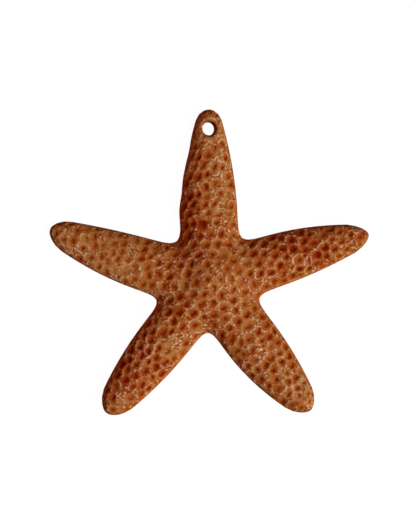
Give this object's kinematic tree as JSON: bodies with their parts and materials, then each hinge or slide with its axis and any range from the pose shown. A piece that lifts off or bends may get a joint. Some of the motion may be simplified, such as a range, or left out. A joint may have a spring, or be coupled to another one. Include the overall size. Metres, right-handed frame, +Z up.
{
  "type": "dried starfish",
  "caption": "Dried starfish with rounded arms, a dimpled glossy back, grooves on its flat underside and a cord hole in one arm tip.",
  "frame": {"origin": "on the surface it lies on, under the middle of its bounding box; the middle of the disc is 0.5 mm to +X and 9.6 mm to -Y of it", "axes": "+Z up out of the back, +Y along the arm with the cord hole, +X to the right when looking down on the back"},
  "size_m": [0.1502, 0.1438, 0.0164],
  "materials": {
    "shell": "dried chalky shell under a thin clear varnish, tan on the ridges and red-brown in the dimples"
  },
  "bodies": {
    "root": {"starfish": "shell"}
  },
  "joints": []
}
